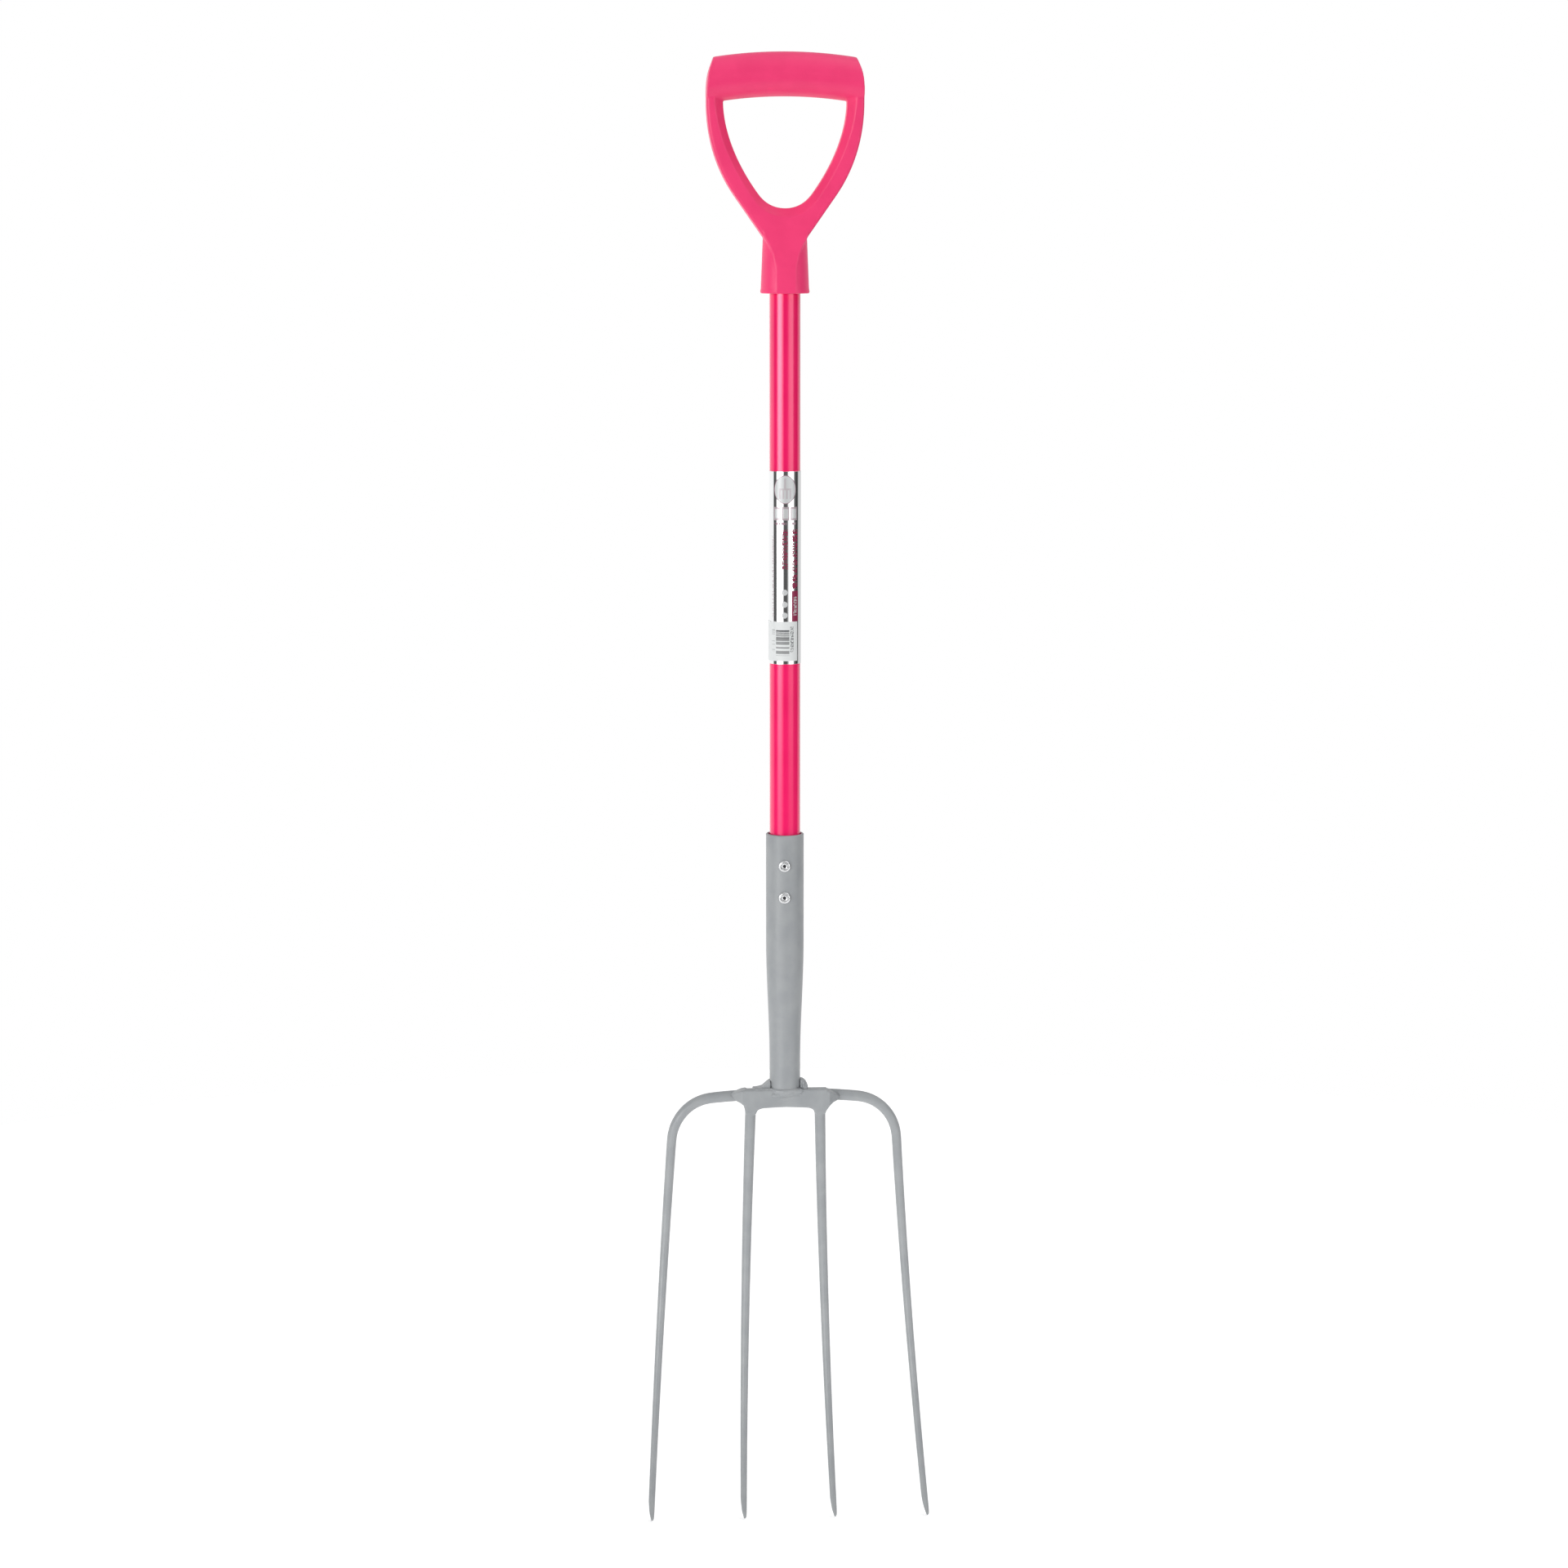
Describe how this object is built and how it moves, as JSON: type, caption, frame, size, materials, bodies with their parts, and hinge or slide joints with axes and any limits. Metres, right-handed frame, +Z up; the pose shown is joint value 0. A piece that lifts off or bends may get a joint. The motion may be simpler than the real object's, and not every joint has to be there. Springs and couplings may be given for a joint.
{
  "type": "garden fork",
  "caption": "Long-tined garden fork with a moulded D-handle, a glossy tube shaft, a riveted tapering socket and a welded head of slim dished tines.",
  "frame": {"origin": "middle of the hand grip, on the shaft's axis", "axes": "+Z up along the shaft from the tines to the grip, +X to the right as seen from the front, -Y to the front, which is the hollow side of the tines"},
  "size_m": [0.2321, 0.0759, 1.1919],
  "materials": {
    "handle_plastic": "matt pink moulded plastic",
    "shaft_gloss": "high-gloss pink coating on a steel tube",
    "silver_foil": "mirror-bright metallised foil label",
    "white_sticker": "semi-gloss white printed sticker",
    "grey_paint": "satin grey paint on steel",
    "rivet_aluminium": "bright rolled aluminium",
    "plated_steel": "dull zinc-plated steel"
  },
  "bodies": {
    "root": {"d_handle": "handle_plastic", "handle_screw": "plated_steel", "shaft_tube": "shaft_gloss", "foil_label": "silver_foil", "barcode_sticker": "white_sticker", "socket": "grey_paint", "rivet_upper": "rivet_aluminium", "rivet_upper_stem": "plated_steel", "rivet_lower": "rivet_aluminium", "rivet_lower_stem": "plated_steel", "outer_tines": "grey_paint", "inner_tines": "grey_paint", "socket_weld_left": "grey_paint", "socket_weld_right": "grey_paint", "socket_weld_front": "grey_paint", "socket_weld_back": "grey_paint", "crown_weld_left": "grey_paint", "crown_weld_right": "grey_paint"}
  },
  "joints": []
}
